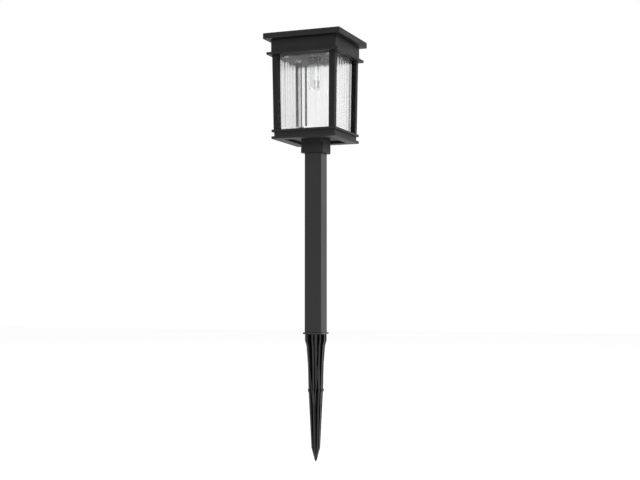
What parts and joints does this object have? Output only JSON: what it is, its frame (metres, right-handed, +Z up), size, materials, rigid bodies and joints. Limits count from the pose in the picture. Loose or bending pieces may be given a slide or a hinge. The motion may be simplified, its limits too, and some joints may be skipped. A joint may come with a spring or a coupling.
{
  "type": "solar garden light",
  "caption": "Square lantern with ribbed clear windows and a flat solar roof, on a square pole with a ground stake.",
  "frame": {"origin": "ground level, at the centre of the underside of the stake's flange", "axes": "+Z up along the pole, +X to the right of the front window, +Y to the back"},
  "size_m": [0.102, 0.102, 0.5341],
  "materials": {
    "stake_plastic": "moulded, slightly glossy",
    "pole_paint": "satin black powder coat",
    "black_plastic": "satin black",
    "window_glass": "clear, ribbed",
    "screw_steel": "plated",
    "gasket_rubber": "matte",
    "board_white": "satin",
    "solar_silicon": "polished silicon",
    "solar_resin": "clear cast resin",
    "board_green": "solder mask",
    "chip_epoxy": "matte",
    "choke_enamel": "enamelled",
    "lead_red": "insulated wire",
    "lead_black": "insulated wire",
    "battery_sleeve": "shrink sleeve",
    "contact_nickel": "nickel plated",
    "knob_white": "matte",
    "bulb_glass": "clear",
    "led_epoxy": "clear epoxy"
  },
  "bodies": {
    "stake": {"ground_stake": "stake_plastic"},
    "pole": {"pole": "pole_paint"},
    "lantern": {"socket_plate": "black_plastic", "base_tray": "black_plastic", "base_screws": "screw_steel", "lantern_frame": "black_plastic", "window_front": "window_glass", "window_right": "window_glass", "window_back": "window_glass", "window_left": "window_glass"},
    "solar_top": {"top_housing": "black_plastic", "roof_cap": "black_plastic", "roof_gasket": "gasket_rubber", "solar_board": "board_white", "solar_cells": "solar_silicon", "solar_cover": "solar_resin", "housing_tub": "black_plastic", "housing_screws": "screw_steel", "circuit_board": "board_green", "driver_chip": "chip_epoxy", "choke_coil": "choke_enamel", "solar_leads": "lead_red", "battery_leads": "lead_black", "battery_cell": "battery_sleeve", "contact_spring": "contact_nickel", "contact_plate": "contact_nickel", "switch_body": "chip_epoxy", "bulb_socket": "black_plastic", "bulb_envelope": "bulb_glass", "led_lens": "led_epoxy", "led_frame": "contact_nickel"},
    "battery_door": {"battery_door": "black_plastic"},
    "switch_knob": {"switch_knob": "knob_white"}
  },
  "joints": [
    {"name": "pole_pull", "type": "slide", "parent": "stake", "child": "pole", "axis": [0, 0, 1], "range_m": [0, 0.025]},
    {"name": "lantern_lift", "type": "slide", "parent": "pole", "child": "lantern", "axis": [0, 0, 1], "range_m": [0, 0.0235]},
    {"name": "top_lift", "type": "slide", "parent": "lantern", "child": "solar_top", "axis": [0, 0, 1], "range_m": [0, 0.048]},
    {"name": "battery_door_hinge", "type": "hinge", "parent": "solar_top", "child": "battery_door", "pos_m": [0, 0.0283, 0.3506], "axis": [1, 0, 0], "range_deg": [0, 90]},
    {"name": "switch_slide", "type": "slide", "parent": "solar_top", "child": "switch_knob", "axis": [1, 0, 0], "range_m": [0, 0.003]}
  ]
}
